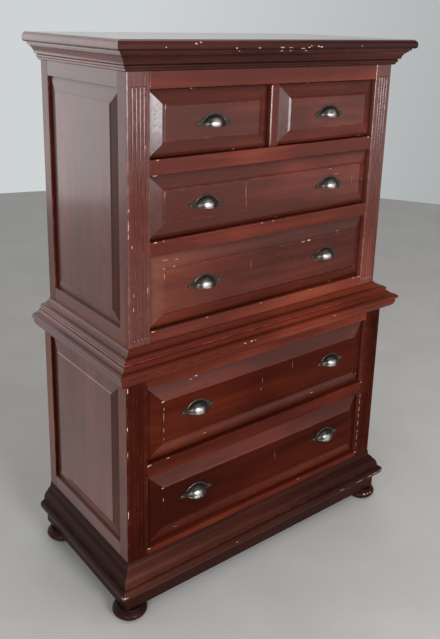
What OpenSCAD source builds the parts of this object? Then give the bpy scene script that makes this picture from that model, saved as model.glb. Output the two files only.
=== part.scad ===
// Tall chest of drawers: a chest on chest with six drawers, fluted posts,
// raised side panels, cup pulls, a cornice, a waist moulding and bun feet.
// Millimetres, +Z up, the drawers face -Y. Each node is drawn closed.

/* [Cases] */
// width of the upper case over its posts
upper_w = 860; // [800:5:880]
// width of the lower case over its posts
lower_w = 900; // [890:5:960]
// depth of the lower case from its back to its front face
lower_d = 440; // [400:5:500]
// how far the upper case's front and sides stand back from the lower case's
setback = 20; // [14:1:24]
// width of each front post
post_w = 60; // [52:1:66]
// depth of each front post, and of the rails between them
post_d = 38; // [30:1:44]
// thickness of the side rails
side_t = 22; // [20:1:26]

/* [Heights] */
// height of the bun feet
foot_h = 28; // [24:1:40]
// height of the plinth frame
plinth_h = 72; // [66:1:76]
// height of the lower case's bottom rail
lower_sill_h = 74; // [66:1:86]
// height of each opening in the lower case
row_low_h = 208; // [180:1:230]
// height of the rail between the two lower drawers
mid_rail_h = 38; // [30:1:46]
// height of the lower case's top rail
lower_top_h = 62; // [56:1:76]
// height of the upper case's bottom rail
upper_sill_h = 61; // [56:1:76]
// height of the upper case's lowest opening
row_3_h = 187; // [160:1:210]
// height of the two rails between the upper rows
rail_h = 36; // [30:1:44]
// height of the two openings above it
row_12_h = 158; // [140:1:180]
// height of the frieze rail, which the cornice partly covers
frieze_h = 84; // [78:1:100]
// thickness of the top board
top_t = 24; // [20:1:28]

/* [Drawers] */
// gap round each drawer front
gap = 2; // [1.5:0.5:3]
// thickness of a drawer front at its raised field
front_t = 22; // [20:1:26]
// thickness of a drawer front at its edge
front_edge = 9; // [8:0.5:11]
// width of the sloping border on the upper drawer fronts
bevel_up = 34; // [24:1:40]
// width of the sloping border on the lower drawer fronts
bevel_low = 40; // [28:1:46]
// thickness of the drawer sides and backs
board = 12; // [10:1:15]

/* [Pulls] */
// half width of the cup
cup_r = 34; // [32:1:36]
// reach of the dome, and its height
cup_h = 22; // [20:1:25]
// height of the flared lip below the dome
cup_lip_h = 5; // [4:1:6]
// distance of each pull from the centre on the upper wide drawers
pull_x_up = 210; // [150:5:240]
// distance of each pull from the centre on the lower drawers
pull_x_low = 240; // [160:5:260]

/* [Flutes] */
// number of flutes on each front post
flutes = 4; // [3:1:4]
// spacing of the flutes
flute_pitch = 10; // [9:0.5:11]

/* [Output] */
// node to draw, or all

/* [Hidden] */
$fa = 4;
$fs = 0.4;
waist_o = 36.5;
cornice_o = 48;
y_back = (lower_d + waist_o) / 2;
y_low = y_back - lower_d;
y_up = y_low + setback;
y_rear = y_back - 36;
back_t = 12;
centre_w = 28;
z_case = foot_h + plinth_h;
z_row6 = z_case + lower_sill_h;
z_row5 = z_row6 + row_low_h + mid_rail_h;
z_lowtop = z_row5 + row_low_h + lower_top_h;
deck_t = 16;
z_up = z_lowtop + deck_t;
z_row4 = z_up + upper_sill_h;
z_row3 = z_row4 + row_3_h + rail_h;
z_row1 = z_row3 + row_12_h + rail_h;
z_uptop = z_row1 + row_12_h + frieze_h;
z_top = z_uptop + top_t;
in_up = upper_w / 2 - post_w;
in_low = lower_w / 2 - post_w;
small_w = in_up - centre_w / 2;
small_x = (in_up + centre_w / 2) / 2;
ride = 0.4;
groove = 8;
seam = 0.1;
stop_h = 12;
stop_gap = 9.7;
tongue_t = 7;
shank_r = 1.6;
cup_t = 2.2;
cup_R = (cup_r * cup_r + cup_h * cup_h) / (2 * cup_h);
cup_c = cup_R - cup_h;
ear_x = cup_r + 10;
ear_z = 1;
plate_t = 2;
lip_out = 3;
foot_r = 46;
foot_x = lower_w / 2 - 10;
foot_y = y_low + 10;
foot_y_rear = y_back - foot_r - 2;
dowel_r = 8;
plinth_t = 16;
block_l = 62;

// one entry for each drawer: centre, opening width, opening bottom, opening height,
// front plane, border width, pull positions, pull base above the opening bottom
small_pull = row_12_h / 2 - 7;
D = [
  [-small_x, small_w, z_row1, row_12_h, y_up, bevel_up, [0], small_pull],
  [small_x, small_w, z_row1, row_12_h, y_up, bevel_up, [0], small_pull],
  [0, 2 * in_up, z_row3, row_12_h, y_up, bevel_up, [-pull_x_up, pull_x_up], small_pull],
  [0, 2 * in_up, z_row4, row_3_h, y_up, bevel_up, [-pull_x_up, pull_x_up], row_3_h - 95],
  [0, 2 * in_low, z_row5, row_low_h, y_low, bevel_low, [-pull_x_low, pull_x_low], row_low_h - 97],
  [0, 2 * in_low, z_row6, row_low_h, y_low, bevel_low, [-pull_x_low, pull_x_low], row_low_h - 97]
];

wood = [0.36, 0.13, 0.09];
wood_dark = [0.27, 0.09, 0.06];
inner_wood = [0.62, 0.46, 0.3];
metal = [0.3, 0.28, 0.25];

// ---------- shared shapes ----------

module box(x0, x1, y0, y1, z0, z1) {
  translate([x0, y0, z0])
    cube([x1 - x0, y1 - y0, z1 - z0]);
}

module both_sides() {
  children();
  mirror([1, 0, 0])
    children();
}

// outline of a raised board seen along one edge: flat back at 0, field at -t
function raised_outline(l, t, edge, bevel, step) = [
  [-l / 2, 0], [l / 2, 0], [l / 2, -edge], [l / 2 - bevel, step - t],
  [l / 2 - bevel - step, -t], [bevel + step - l / 2, -t], [bevel - l / 2, step - t], [-l / 2, -edge]
];

// raised board, centred in x, from z = 0 to h, its back at y = 0
module raised(w, h, t, edge, bevel, step) {
  intersection() {
    linear_extrude(h)
      polygon(raised_outline(w, t, edge, bevel, step));
    translate([w / 2, 0, h / 2])
      rotate([0, -90, 0])
        linear_extrude(w)
          polygon(raised_outline(h, t, edge, bevel, step));
  }
}

// front length of a moulding; the child is its section, x outward and y up
module front_run(w, y, z, out, in) {
  intersection() {
    translate([-w / 2 - out - 1, y, z])
      rotate([90, 0, 90])
        linear_extrude(w + 2 * out + 2)
          mirror([1, 0])
            children();
    translate([0, y, z - 200])
      linear_extrude(400)
        polygon([[-w / 2 - out, -out], [w / 2 + out, -out], [w / 2 - in, in], [in - w / 2, in]]);
  }
}

// side length of the same moulding, on the +X side
module side_run(w, y, z, out, in) {
  intersection() {
    translate([w / 2, y_back, z])
      rotate([90, 0, 0])
        linear_extrude(y_back - y + out + 1)
          children();
    translate([w / 2, seam, z - 200])
      linear_extrude(400)
        polygon([[out, y - out], [out, y_back], [-in, y_back], [-in, y + in]]);
  }
}

module flute(x, y, z0, z1) {
  translate([x, y - 0.8, z0]) {
    cylinder(r = 3.6, h = z1 - z0);
    sphere(r = 3.6);
  }
  translate([x, y - 0.8, z1])
    sphere(r = 3.6);
}

// fluted front post on the +X side
module front_post(w, y, z0, z1, f0, f1, p0, p1) {
  difference() {
    box(w / 2 - post_w, w / 2, y, y + post_d, z0, z1);
    for (i = [0 : flutes - 1])
      flute(w / 2 - post_w / 2 + (i - (flutes - 1) / 2) * flute_pitch, y, f0, f1);
    panel_slot(w, y + post_d - groove, y + post_d + 1, p0 - groove, p1 + groove);
  }
}

// rear post on the +X side, rebated for the back panel
module rear_post(w, z0, z1, p0, p1) {
  difference() {
    box(w / 2 - post_w, w / 2, y_rear, y_back, z0, z1);
    box(w / 2 - post_w - 1, w / 2 - 12, y_back - back_t, y_back + 1, z0 - 1, z1 + 1);
    panel_slot(w, y_rear - 1, y_rear + groove, p0 - groove, p1 + groove);
  }
}

// slot in the side frame that holds the edge of a side panel
module panel_slot(w, y0, y1, z0, z1) {
  box(w / 2 - side_t + 6, w / 2 - side_t + 6 + tongue_t, y0, y1, z0, z1);
}

module side_rail(w, y, z0, z1, s0, s1) {
  difference() {
    box(w / 2 - side_t, w / 2, y + post_d, y_rear, z0, z1);
    panel_slot(w, y + post_d - 1, y_rear + 1, s0, s1);
  }
}

// raised panel of the +X side, its tongue in the slots all round
module side_panel(w, y, p0, p1) {
  l = y_rear - y - post_d;
  mid = (y_rear + y + post_d) / 2;
  x = w / 2 - side_t + 6;
  panel_slot(w, y + post_d - groove, y_rear + groove, p0 - groove, p1 + groove);
  translate([x, mid, p0])
    rotate([0, 0, 90])
      raised(l, p1 - p0, side_t - 7, tongue_t, 36, 1.2);
}

// runner with a guide strip and a stop block, on the +X side, its top level with z
module runner(x_in, w, y, z) {
  box(x_in - 25, x_in, y + post_d, y_back - back_t, z - 20, z);
  box(x_in, w / 2 - side_t, y + post_d, y_rear, z - 20, z + 20);
  box(x_in - 25, x_in, y_back - back_t - stop_gap, y_back - back_t, z, z + stop_h);
}

// ---------- moulding sections ----------

module cornice_section() {
  square_top = 6;
  difference() {
    union() {
      translate([0, -square_top])
        square([36, square_top]);
      polygon([[0, -6], [31, -6], [31, -12], [17, -26], [17, -29], [0, -29]]);
      translate([8, -34])
        circle(r = 4.5);
      translate([0, -46])
        square([8.5, 18]);
    }
    translate([41.5, -30])
      circle(r = 25.4);
  }
}

module waist_section() {
  polygon([
    [0, -49], [6, -46], [24, -34], [30, -29], [30.8, -25], [29.5, -19], [29, -18.5], [24, -12],
    [30.5, -6.5], [25, -3], [18, 1.5], [14, 4], [14, 6.5], [4, 7.5], [-4, 20], [-16, 30],
    [-20, 32], [-20, 0], [0, 0]
  ]);
  translate([30.5, -12.5])
    circle(r = 6);
  translate([4, 13])
    circle(r = 5.5);
}

module base_section() {
  difference() {
    union() {
      polygon([
        [0, 0], [plinth_t, 0], [plinth_t, -38], [18.5, -30], [29, -5], [28.5, 3], [24, 5],
        [24, 10], [9, 38], [0, 57]
      ]);
      translate([28.5, -5])
        circle(r = 8);
      intersection() {
        translate([18.5, -10])
          circle(r = 17.5);
        translate([plinth_t, -30])
          square([30, 28]);
      }
      intersection() {
        translate([-6, 10])
          circle(r = 30);
        translate([0, 10])
          square([30, 31]);
      }
    }
    translate([13.5, 54])
      circle(r = 12.5);
  }
}

// ---------- upper case ----------

upper_p0 = z_up + 69;
upper_p1 = z_uptop - 82;
lower_p0 = z_case + 95;
lower_p1 = z_lowtop - 50;

module upper_front_posts() {
  color(wood)
    both_sides()
      front_post(upper_w, y_up, z_up, z_uptop, z_up + 48, z_uptop - 80, upper_p0, upper_p1);
}

module upper_rear_posts() {
  color(wood_dark)
    both_sides()
      rear_post(upper_w, z_up, z_uptop, upper_p0, upper_p1);
}

module upper_side_rails() {
  color(wood)
    both_sides() {
      side_rail(upper_w, y_up, z_up, upper_p0, upper_p0 - groove, upper_p0 + 1);
      side_rail(upper_w, y_up, upper_p1, z_uptop, upper_p1 - 1, upper_p1 + groove);
    }
}

module upper_side_panels() {
  color(wood)
    both_sides()
      side_panel(upper_w, y_up, upper_p0, upper_p1);
}

module frieze_rail() {
  color(wood)
    box(-in_up, in_up, y_up, y_up + post_d, z_row1 + row_12_h, z_uptop);
}

module upper_drawer_rails() {
  color(wood) {
    box(-in_up, in_up, y_up, y_up + post_d, z_row1 - rail_h, z_row1);
    box(-in_up, in_up, y_up, y_up + post_d, z_row3 - rail_h, z_row3);
  }
}

module upper_bottom_rail() {
  color(wood)
    box(-in_up, in_up, y_up, y_up + post_d, z_up, z_row4);
}

module centre_stile() {
  color(wood)
    box(-centre_w / 2, centre_w / 2, y_up, y_up + post_d, z_row1, z_row1 + row_12_h);
}

module upper_runners() {
  color(inner_wood) {
    both_sides()
      for (z = [z_row4, z_row3, z_row1])
        runner(in_up, upper_w, y_up, z);
    box(-45, 45, y_up + post_d, y_back - back_t, z_row1 - 20, z_row1);
    box(-45, 45, y_back - back_t - stop_gap, y_back - back_t, z_row1, z_row1 + stop_h);
    box(1 - centre_w / 2, centre_w / 2 - 1, y_up + post_d, y_back - back_t, z_row1, z_row1 + 30);
  }
}

module upper_back() {
  color(inner_wood)
    box(12 - upper_w / 2, upper_w / 2 - 12, y_back - back_t, y_back, z_up, z_uptop);
}

// section of the top board's rounded edge, from the centre line to one side
module top_section(half, back) {
  r = 12;
  difference() {
    union() {
      translate([-back, 0])
        square([half + back - 4, top_t]);
      translate([half - r, top_t - r])
        circle(r = r);
      translate([half - 5, 6])
        circle(r = 5);
      translate([half - r, 6])
        square([r, top_t - r - 6]);
    }
    translate([half - r, top_t - r])
      difference() {
        square([r + 1, r + 1]);
        circle(r = r);
      }
  }
}

module top_board() {
  half = upper_w / 2 + cornice_o;
  front = y_up - cornice_o;
  color(wood)
    intersection() {
      translate([0, y_back, z_uptop])
        rotate([90, 0, 0])
          linear_extrude(y_back - front + 1)
            both_sides()
              top_section(half, 0.5);
      translate([-half - 1, y_back, z_uptop])
        rotate([90, 0, 90])
          linear_extrude(2 * half + 2)
            mirror([1, 0])
              top_section(y_back - front, 0);
    }
}

module cornice_moulding() {
  color(wood_dark) {
    front_run(upper_w, y_up, z_uptop, 40, 5)
      cornice_section();
    both_sides()
      side_run(upper_w, y_up, z_uptop, 40, 5)
        cornice_section();
  }
}

// ---------- lower case ----------

module lower_front_posts() {
  color(wood)
    both_sides()
      front_post(lower_w, y_low, z_case, z_lowtop, z_row6 + 8, z_row5 + row_low_h - 6,
        lower_p0, lower_p1);
}

module lower_rear_posts() {
  color(wood_dark)
    both_sides()
      rear_post(lower_w, z_case, z_lowtop, lower_p0, lower_p1);
}

module lower_side_rails() {
  color(wood)
    both_sides() {
      side_rail(lower_w, y_low, z_case, lower_p0, lower_p0 - groove, lower_p0 + 1);
      side_rail(lower_w, y_low, lower_p1, z_lowtop, lower_p1 - 1, lower_p1 + groove);
    }
}

module lower_side_panels() {
  color(wood)
    both_sides()
      side_panel(lower_w, y_low, lower_p0, lower_p1);
}

module lower_rails() {
  color(wood) {
    box(-in_low, in_low, y_low, y_low + post_d, z_case, z_row6);
    box(-in_low, in_low, y_low, y_low + post_d, z_row5 - mid_rail_h, z_row5);
    box(-in_low, in_low, y_low, y_low + post_d, z_row5 + row_low_h, z_lowtop);
  }
}

module lower_runners() {
  color(inner_wood)
    both_sides()
      for (z = [z_row6, z_row5])
        runner(in_low, lower_w, y_low, z);
}

module lower_back() {
  color(inner_wood)
    box(12 - lower_w / 2, lower_w / 2 - 12, y_back - back_t, y_back, z_case, z_lowtop);
}

module lower_top_board() {
  color(wood_dark)
    box(-lower_w / 2, lower_w / 2, y_low, y_back, z_lowtop, z_up);
}

module waist_moulding() {
  color(wood) {
    front_run(lower_w, y_low, z_up, 40, 20)
      waist_section();
    both_sides()
      side_run(lower_w, y_low, z_up, 40, 20)
        waist_section();
  }
}

module base_moulding() {
  color(wood) {
    front_run(lower_w, y_low, z_case, 40, 5)
      base_section();
    both_sides()
      side_run(lower_w, y_low, z_case, 40, 5)
        base_section();
  }
}

module plinth_section() {
  translate([0, -plinth_h])
    square([plinth_t, plinth_h]);
}

// block behind a corner of the plinth, from y0 back, with the hole for a foot's dowel
module corner_block(y0, foot) {
  difference() {
    box(lower_w / 2 - block_l, lower_w / 2 - seam, y0, y0 + block_l, foot_h, z_case);
    translate([foot_x, foot, foot_h - 1])
      cylinder(r = dowel_r, h = 27);
  }
}

module plinth() {
  color(wood_dark) {
    front_run(lower_w, y_low, z_case, 40, 20)
      plinth_section();
    both_sides() {
      side_run(lower_w, y_low, z_case, 40, 20)
        plinth_section();
      corner_block(y_low + seam, foot_y);
      corner_block(y_back - plinth_t - block_l - seam, foot_y_rear);
    }
    box(seam - lower_w / 2, lower_w / 2 - seam, y_back - plinth_t, y_back, foot_h, z_case);
  }
}

// turned foot: a flattened ball with a dowel on top
module bun_foot(x, y) {
  translate([x, y, 0]) {
    rotate_extrude()
      intersection() {
        translate([foot_r - 20, foot_h / 2])
          circle(r = 20);
        translate([1, 0])
          square([foot_r, foot_h]);
      }
    cylinder(r = foot_r - 10, h = foot_h);
    cylinder(r = dowel_r, h = foot_h + 25);
  }
}

module bun_feet() {
  color(wood_dark)
    both_sides() {
      bun_foot(foot_x, foot_y);
      bun_foot(foot_x, foot_y_rear);
    }
}

// ---------- drawers ----------

module at_screws(d) {
  for (p = d[6])
    for (s = [-1, 1])
      translate([d[0] + p + s * ear_x, d[4], d[2] + d[7] + ear_z])
        children();
}

module drawer_front(d) {
  w = d[1] - 2 * gap;
  color(wood)
    difference() {
      translate([d[0], d[4] + front_t, d[2] + gap])
        raised(w, d[3] - 2 * gap, front_t, front_edge, d[5], 2.5);
      box(d[0] - w / 2 + 8, d[0] + w / 2 - 8, d[4] + front_t - 5, d[4] + front_t + 1,
        d[2] + 12, d[2] + 18);
      at_screws(d)
        rotate([-90, 0, 0])
          cylinder(r = shank_r, h = 12);
    }
}

module drawer_sides(d) {
  x = d[1] / 2 - gap - 1;
  y0 = d[4] + front_t;
  color(inner_wood)
    translate([d[0], 0, d[2]])
      both_sides()
        difference() {
          box(x - board, x, y0, y_back - back_t - 10, ride, d[3] - 22);
          box(x - board - 1, x - board + 5, y0 - 1, y_back, 12, 18);
        }
}

module drawer_back(d) {
  x = d[1] / 2 - gap - 1 - board;
  y1 = y_back - back_t - 10;
  color(inner_wood)
    box(d[0] - x, d[0] + x, y1 - board, y1, d[2] + 18, d[2] + d[3] - 26);
}

module drawer_bottom(d) {
  x = d[1] / 2 - gap - 1 - board + 5;
  color(inner_wood)
    box(d[0] - x, d[0] + x, d[4] + front_t - 5, y_back - back_t - 10, d[2] + 12, d[2] + 18);
}

// half of the cup's section beside its turning axis
module cup_half(r) {
  intersection() {
    translate([-cup_c, 0])
      circle(r = r);
    translate([0, -60])
      square([60, 120]);
  }
}

module cup_wall_section() {
  difference() {
    cup_half(cup_R);
    cup_half(cup_R - cup_t);
  }
}

module cup_plate() {
  difference() {
    union() {
      intersection() {
        translate([0, -cup_c])
          circle(r = cup_R + 4);
        translate([-60, -0.1])
          square([120, 60]);
      }
      both_sides()
        polygon([
          [cup_r - 4, -cup_lip_h], [ear_x - 2, -cup_lip_h], [ear_x + 4, -3], [ear_x + 9, ear_z],
          [ear_x + 2, ear_z + 6], [ear_x - 5, ear_z + 8], [cup_r - 8, cup_h - 7]
        ]);
    }
    intersection() {
      translate([0, -cup_c])
        circle(r = cup_R - cup_t);
      translate([-60, 0])
        square([120, 60]);
    }
    square([2 * (cup_r - cup_t - 0.3), 60], center = true);
    for (s = [-1, 1])
      translate([s * ear_x, ear_z])
        circle(r = shank_r);
  }
}

// lip that flares out below the dome
module cup_lip() {
  intersection() {
    translate([0, cup_c, 0])
      rotate_extrude()
        polygon([
          [cup_R - cup_t, 0], [cup_R, 0], [cup_R + lip_out, -cup_lip_h],
          [cup_R + lip_out - cup_t, -cup_lip_h]
        ]);
    box(-60, 60, -60, 0, -cup_lip_h, 0);
  }
}

module cup_pull() {
  rotate([0, 90, 0])
    rotate([0, 0, 180])
      rotate_extrude(angle = 90)
        cup_wall_section();
  cup_lip();
  rotate([90, 0, 0])
    linear_extrude(plate_t)
      cup_plate();
}

module pulls(d) {
  color(metal)
    for (p = d[6])
      translate([d[0] + p, d[4], d[2] + d[7]])
        cup_pull();
}

module screw() {
  difference() {
    union() {
      intersection() {
        translate([0, 0.7, 0])
          sphere(r = 4.5);
        translate([-5, -plate_t - 5, -5])
          cube([10, 5, 10]);
      }
      translate([0, -plate_t - 0.2, 0])
        rotate([-90, 0, 0])
          cylinder(r = shank_r, h = plate_t + 12.2);
    }
    translate([-4, -plate_t - 3, -0.4])
      cube([8, 2.2, 0.8]);
  }
}

module screws(d) {
  color(metal)
    at_screws(d)
      screw();
}

module drawer_1_front() { drawer_front(D[0]); }
module drawer_1_sides() { drawer_sides(D[0]); }
module drawer_1_back() { drawer_back(D[0]); }
module drawer_1_bottom() { drawer_bottom(D[0]); }
module drawer_1_pull() { pulls(D[0]); }
module drawer_1_screws() { screws(D[0]); }
module drawer_2_front() { drawer_front(D[1]); }
module drawer_2_sides() { drawer_sides(D[1]); }
module drawer_2_back() { drawer_back(D[1]); }
module drawer_2_bottom() { drawer_bottom(D[1]); }
module drawer_2_pull() { pulls(D[1]); }
module drawer_2_screws() { screws(D[1]); }
module drawer_3_front() { drawer_front(D[2]); }
module drawer_3_sides() { drawer_sides(D[2]); }
module drawer_3_back() { drawer_back(D[2]); }
module drawer_3_bottom() { drawer_bottom(D[2]); }
module drawer_3_pulls() { pulls(D[2]); }
module drawer_3_screws() { screws(D[2]); }
module drawer_4_front() { drawer_front(D[3]); }
module drawer_4_sides() { drawer_sides(D[3]); }
module drawer_4_back() { drawer_back(D[3]); }
module drawer_4_bottom() { drawer_bottom(D[3]); }
module drawer_4_pulls() { pulls(D[3]); }
module drawer_4_screws() { screws(D[3]); }
module drawer_5_front() { drawer_front(D[4]); }
module drawer_5_sides() { drawer_sides(D[4]); }
module drawer_5_back() { drawer_back(D[4]); }
module drawer_5_bottom() { drawer_bottom(D[4]); }
module drawer_5_pulls() { pulls(D[4]); }
module drawer_5_screws() { screws(D[4]); }
module drawer_6_front() { drawer_front(D[5]); }
module drawer_6_sides() { drawer_sides(D[5]); }
module drawer_6_back() { drawer_back(D[5]); }
module drawer_6_bottom() { drawer_bottom(D[5]); }
module drawer_6_pulls() { pulls(D[5]); }
module drawer_6_screws() { screws(D[5]); }

upper_front_posts();
upper_rear_posts();
upper_side_rails();
upper_side_panels();
frieze_rail();
upper_drawer_rails();
upper_bottom_rail();
centre_stile();
upper_runners();
upper_back();
top_board();
cornice_moulding();
lower_front_posts();
lower_rear_posts();
lower_side_rails();
lower_side_panels();
lower_rails();
lower_runners();
lower_back();
lower_top_board();
waist_moulding();
base_moulding();
plinth();
bun_feet();
drawer_1_front();
drawer_1_sides();
drawer_1_back();
drawer_1_bottom();
drawer_1_pull();
drawer_1_screws();
drawer_2_front();
drawer_2_sides();
drawer_2_back();
drawer_2_bottom();
drawer_2_pull();
drawer_2_screws();
drawer_3_front();
drawer_3_sides();
drawer_3_back();
drawer_3_bottom();
drawer_3_pulls();
drawer_3_screws();
drawer_4_front();
drawer_4_sides();
drawer_4_back();
drawer_4_bottom();
drawer_4_pulls();
drawer_4_screws();
drawer_5_front();
drawer_5_sides();
drawer_5_back();
drawer_5_bottom();
drawer_5_pulls();
drawer_5_screws();
drawer_6_front();
drawer_6_sides();
drawer_6_back();
drawer_6_bottom();
drawer_6_pulls();
drawer_6_screws();
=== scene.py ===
import math
import random

import bmesh
import bpy
from mathutils import Matrix, Vector


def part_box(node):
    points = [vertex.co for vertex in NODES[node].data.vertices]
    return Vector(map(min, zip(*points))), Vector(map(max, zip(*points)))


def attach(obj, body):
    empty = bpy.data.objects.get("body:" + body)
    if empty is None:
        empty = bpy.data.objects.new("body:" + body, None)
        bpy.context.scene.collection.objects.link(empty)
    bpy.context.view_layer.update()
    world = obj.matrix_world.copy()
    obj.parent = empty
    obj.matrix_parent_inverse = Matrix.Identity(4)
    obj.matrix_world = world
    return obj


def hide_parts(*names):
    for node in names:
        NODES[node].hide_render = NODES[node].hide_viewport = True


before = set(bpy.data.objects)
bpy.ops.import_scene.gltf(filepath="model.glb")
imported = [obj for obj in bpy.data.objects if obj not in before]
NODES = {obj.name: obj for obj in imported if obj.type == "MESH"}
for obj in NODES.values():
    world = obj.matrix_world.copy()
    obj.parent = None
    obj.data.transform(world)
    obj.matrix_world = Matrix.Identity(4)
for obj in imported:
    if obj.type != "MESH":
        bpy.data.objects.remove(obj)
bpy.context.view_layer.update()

CASE = "carcase"
mm = 0.001


# -------- mesh tools

MIN_TURN = 0.02  # radians; a flatter corner is left as it is
FULL_WEAR_TURN = 0.9  # radians; a sharper corner is fully worn, or gets full painted shade if it is an inner one
STEP_TURN = 0.25  # radians that one step of a rounding turns
CORNER_SHARE = 0.42  # the most of a side that the rounding of one corner takes
SUPPORT_ROOM = 2.2  # a support point is left out if less than this many times its distance is free


def rounded(points, support=3.0, steps=4, closed=False):
    """Rounds the corners of a polyline of (x, y, radius) in mm and adds a support point beside each.
    Returns (x, y, wear_and_sheen, recess), where recess is painted shade in the inner corners; the outer side
    is on the left of the direction of travel."""
    pts = [Vector(p[:2]) for p in points]
    rad = [p[2] for p in points]
    n = len(pts)
    span = [0.0] * n
    turn = [0.0] * n
    for i in range(n):
        if not closed and i in (0, n - 1):
            continue
        a, b = pts[i] - pts[i - 1], pts[(i + 1) % n] - pts[i]
        turn[i] = a.angle_signed(b)
        if abs(turn[i]) > MIN_TURN and rad[i] > 0:
            most = CORNER_SHARE * min(a.length, b.length)
            span[i] = min(rad[i] * math.tan(abs(turn[i]) / 2), most)
    out = []
    for i in range(n):
        p = pts[i]
        if span[i] <= 0:
            out.append((p.x, p.y, 0.0, 0.0))
            continue
        a, b = (pts[i - 1] - p), (pts[(i + 1) % n] - p)
        free_a = a.length - span[i] - span[i - 1]
        free_b = b.length - span[i] - span[(i + 1) % n]
        a.normalize()
        b.normalize()
        half = (math.pi - abs(turn[i])) / 2
        r = span[i] * math.tan(half)
        centre = p + (a + b).normalized() * (r / math.sin(half))
        strength = min(1.0, abs(turn[i]) / FULL_WEAR_TURN)
        # outer corners are worn; inner corners get painted shade, kept as recess
        wear_and_sheen, recess = (strength, 0.0) if turn[i] > 0 else (0.0, strength)
        if free_a > SUPPORT_ROOM * support:
            q = p + a * (span[i] + support)
            out.append((q.x, q.y, 0.0, 0.0))
        first, last = p + a * span[i] - centre, p + b * span[i] - centre
        whole = first.angle_signed(last)
        k = max(1, min(steps, math.ceil(abs(turn[i]) / STEP_TURN)))
        for j in range(k + 1):
            c, s = math.cos(whole * j / k), math.sin(whole * j / k)
            q = centre + Vector((first.x * c + first.y * s, first.y * c - first.x * s))
            out.append((q.x, q.y, wear_and_sheen, recess))
        if free_b > SUPPORT_ROOM * support:
            q = p + b * (span[i] + support)
            out.append((q.x, q.y, 0.0, 0.0))
    return out


def arc(cx, cy, r, a0, a1, steps):
    """Points of an arc in a section, from a0 to a1 degrees."""
    angles = [math.radians(a0 + (a1 - a0) * i / steps) for i in range(steps + 1)]
    return [(cx + r * math.cos(a), cy + r * math.sin(a), 0.0) for a in angles]


def add_mesh(name, verts, faces, wear_and_sheen, recess, body, mat, replaces, smooth, sharp):
    """A piece of the visual model. Edges that turn over smooth degrees, and those in sharp, are creased."""
    me = bpy.data.meshes.new(name)
    me.from_pydata([tuple(v) for v in verts], [], faces)
    me.attributes.new("wear_and_sheen", "FLOAT", "POINT").data.foreach_set("value", wear_and_sheen)
    me.attributes.new("recess", "FLOAT", "POINT").data.foreach_set("value", recess)
    tone = random.Random(name).random()
    me.attributes.new("tone", "FLOAT", "POINT").data.foreach_set("value", [tone] * len(verts))
    bm = bmesh.new()
    bm.from_mesh(me)
    bmesh.ops.recalc_face_normals(bm, faces=bm.faces)
    for f in bm.faces:
        f.smooth = True
    for e in bm.edges:
        if len(e.link_faces) == 2 and e.calc_face_angle(0) > math.radians(smooth):
            e.smooth = False
    bm.verts.ensure_lookup_table()
    for i, j in sharp:
        e = bm.edges.get((bm.verts[i], bm.verts[j]))
        if e:
            e.smooth = False
    bm.to_mesh(me)
    bm.free()
    me.materials.append(mat)
    ob = bpy.data.objects.new(name, me)
    bpy.context.scene.collection.objects.link(ob)
    weighted = ob.modifiers.new("weighted", "WEIGHTED_NORMAL")
    weighted.keep_sharp = True
    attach(ob, body)
    if replaces:
        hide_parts(*replaces)
    return ob


def relook(ob, mat, pick):
    """Gives the faces that pick(face) chooses a look of their own."""
    ob.data.materials.append(mat)
    for f in ob.data.polygons:
        if pick(f):
            f.material_index = len(ob.data.materials) - 1


class Build:
    """Collects lofts into one mesh. Lengths are in metres."""

    def __init__(self):
        self.v, self.f, self.w, self.r, self.sharp = [], [], [], [], []

    def loft(self, rings, wear_and_sheen, recess, crease_long=False):
        """Joins rings of points with faces and closes both ends."""
        base, n = len(self.v), len(rings[0])
        for ring, ws, rs in zip(rings, wear_and_sheen, recess):
            self.v += [Vector(p) for p in ring]
            self.w += ws
            self.r += rs
        for k in range(len(rings) - 1):
            a, b = base + k * n, base + (k + 1) * n
            for i in range(n):
                j = (i + 1) % n
                self.f.append((a + i, a + j, b + j, b + i))
                if crease_long:
                    self.sharp.append((a + i, b + i))
        last = base + (len(rings) - 1) * n
        self.f.append(tuple(base + i for i in range(n)))
        self.f.append(tuple(last + i for i in reversed(range(n))))

    def done(self, name, body, mat, replaces=(), smooth=32):
        return add_mesh(name, self.v, self.f, self.w, self.r, body, mat, replaces, smooth, self.sharp)


def lines(a, b, r, support):
    """Grid lines from a to b with a rounded edge and a support line at each end."""
    first = [a, a + 0.3 * r, a + r]
    last = [b - r, b - 0.3 * r, b]
    if b - a > 2 * (r + support) + support:
        return first + [a + r + support, b - r - support] + last
    return first + last


def board_into(build, lo, hi, r=1.2 * mm, support=4 * mm):
    """A board with rounded, worn edges."""
    axes = [lines(lo[k], hi[k], min(r, 0.3 * (hi[k] - lo[k])), support) for k in range(3)]
    size = [len(a) for a in axes]
    index = {}

    def vert(key):
        if key not in index:
            p = Vector([axes[m][key[m]] for m in range(3)])
            inner = Vector([min(max(p[m], axes[m][2]), axes[m][-3]) for m in range(3)])
            off = p - inner
            on_edge = sum(1 for m in range(3) if abs(off[m]) > 1e-7) > 1
            index[key] = len(build.v)
            build.v.append(inner + off.normalized() * r if on_edge else p)
            build.w.append(1.0 if on_edge else 0.0)
            build.r.append(0.0)
        return index[key]

    for m in range(3):
        a, b = (m + 1) % 3, (m + 2) % 3
        for side in (0, size[m] - 1):
            for i in range(size[a] - 1):
                for j in range(size[b] - 1):
                    quad = []
                    for di, dj in ((0, 0), (1, 0), (1, 1), (0, 1)):
                        key = [side] * 3
                        key[a], key[b] = i + di, j + dj
                        quad.append(vert(tuple(key)))
                    build.f.append(tuple(quad if side else reversed(quad)))


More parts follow.
